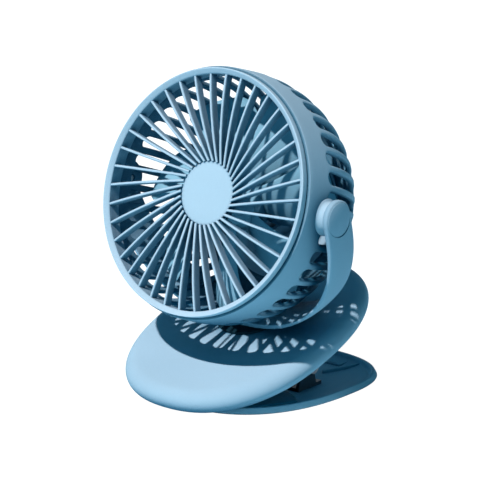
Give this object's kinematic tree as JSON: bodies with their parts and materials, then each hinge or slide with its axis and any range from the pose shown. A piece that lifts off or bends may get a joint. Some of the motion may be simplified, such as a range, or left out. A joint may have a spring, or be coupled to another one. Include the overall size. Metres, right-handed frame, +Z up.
{
  "type": "clip fan",
  "caption": "Small round fan with a slotted domed drum that tilts in a U-shaped yoke, which swivels on a sprung two-jaw clip base.",
  "frame": {"origin": "middle of the flat sole pad, on the surface that the fan stands on", "axes": "+Z up, -Y towards the front that the air leaves by, X along the clip's hinge and the head's tilt axis"},
  "size_m": [0.1776, 0.1615, 0.2063],
  "materials": {
    "shell": "satin moulded blue plastic",
    "steel": "plain bright steel",
    "rubber": "matt dark blue rubber",
    "milky_plastic": "translucent white plastic, drawn opaque",
    "circuit_board": "green lacquered board",
    "bearing": "plain sintered bronze",
    "foil": "grey wrapped foil"
  },
  "bodies": {
    "clip_base": {"lower_jaw": "shell", "sole_pad": "rubber", "lower_grip_pad": "rubber", "lower_hinge_bracket": "steel", "lower_bracket_screw_1": "steel", "lower_bracket_screw_2": "steel", "hinge_pin": "steel", "hinge_washer_left": "steel", "hinge_washer_right": "steel", "pin_clip_left": "steel", "pin_clip_right": "steel", "spring_sleeve": "milky_plastic", "jaw_spring": "steel"},
    "upper_jaw": {"upper_jaw_top": "shell", "upper_jaw_lid": "shell", "upper_hinge_bracket": "steel", "upper_bracket_screw_1": "steel", "upper_bracket_screw_2": "steel", "upper_grip_pad": "rubber", "battery_cell": "foil", "charge_board": "circuit_board", "charge_socket": "steel", "charge_light": "milky_plastic", "jaw_screw_1": "steel", "jaw_screw_2": "steel", "jaw_screw_3": "steel", "jaw_screw_4": "steel"},
    "yoke": {"yoke": "shell", "pivot_cap_left": "shell", "pivot_cap_right": "shell", "pivot_washer_left": "milky_plastic", "pivot_washer_right": "milky_plastic", "swivel_disc": "rubber", "swivel_washer": "steel", "swivel_nut": "steel"},
    "head": {"head_shell": "shell", "front_grille": "shell", "grille_centre_cap": "shell", "rear_cover": "shell", "rear_screw_1": "steel", "rear_screw_2": "steel", "rear_screw_3": "steel", "indicator_ring": "milky_plastic", "control_board": "circuit_board", "button_switch": "foil", "motor_can": "steel", "motor_bearing": "bearing", "trunnion_left": "shell", "trunnion_right": "shell", "pivot_screw_left": "steel", "pivot_screw_right": "steel"},
    "impeller": {"impeller": "shell", "impeller_nut": "steel", "motor_shaft": "steel"},
    "power_button": {"power_button": "shell"}
  },
  "joints": [
    {"name": "clip_jaw", "type": "hinge", "parent": "clip_base", "child": "upper_jaw", "pos_m": [0, 0.006, 0.018], "axis": [-1, 0, 0], "range_deg": [0, 28], "stiffness_Nm_per_rad": 0.5, "springref_deg": -57.3, "deforming": ["jaw_spring"]},
    {"name": "yoke_swivel", "type": "hinge", "parent": "upper_jaw", "child": "yoke", "pos_m": [0, -0.02954, 0.12682], "axis": [0, -0.309, 0.9511], "continuous": true},
    {"name": "head_tilt", "type": "hinge", "parent": "yoke", "child": "head", "pos_m": [0, -0.02954, 0.12682], "axis": [-1, 0, 0], "range_deg": [-126, 54]},
    {"name": "impeller_spin", "type": "hinge", "parent": "head", "child": "impeller", "pos_m": [0, -0.02954, 0.12682], "axis": [0, -0.9466, 0.3223], "continuous": true},
    {"name": "power_button", "type": "slide", "parent": "head", "child": "power_button", "axis": [0, -0.9466, 0.3223], "range_m": [0, 0.0008], "stiffness_N_per_m": 300, "springref_m": -0.001}
  ]
}
